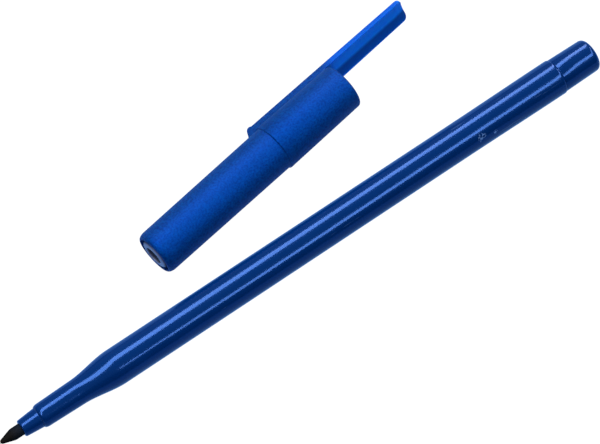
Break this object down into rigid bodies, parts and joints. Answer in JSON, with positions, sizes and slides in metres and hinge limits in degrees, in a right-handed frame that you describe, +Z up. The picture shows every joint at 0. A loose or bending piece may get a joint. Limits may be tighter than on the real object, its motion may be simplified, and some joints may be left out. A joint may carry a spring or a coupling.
{
  "type": "felt tip pen",
  "caption": "Felt-tip pen with a slim stepped nose, a round barrel and an end stopper, and its pull-off cap with a long clip lying beside it.",
  "frame": {"origin": "middle of the underside of the whole set: on the surface it lies on, at the centre of its footprint", "axes": "+X along the pen from its nib to its rear end, +Y from the pen towards the cap beside it, +Z up"},
  "size_m": [0.1384, 0.0344, 0.0104],
  "materials": {
    "barrel_plastic": "glossy dark blue",
    "cap_plastic": "satin blue",
    "liner_plastic": "satin grey-blue",
    "nib_fibre": "dry ink-stained fibre",
    "reservoir_fibre": "soaked fibre",
    "clear_film": "thin film"
  },
  "bodies": {
    "pen": {"barrel": "barrel_plastic", "point_guard": "barrel_plastic", "nib": "nib_fibre", "ink_reservoir": "reservoir_fibre", "reservoir_wrap": "clear_film", "end_plug": "barrel_plastic"},
    "cap": {"cap_shell": "cap_plastic", "cap_liner": "liner_plastic"}
  },
  "joints": [
    {"name": "cap_slide", "type": "slide", "parent": "pen", "child": "cap", "axis": [0.9884, 0.1504, 0.0192], "range_m": [0, 0.045]}
  ]
}
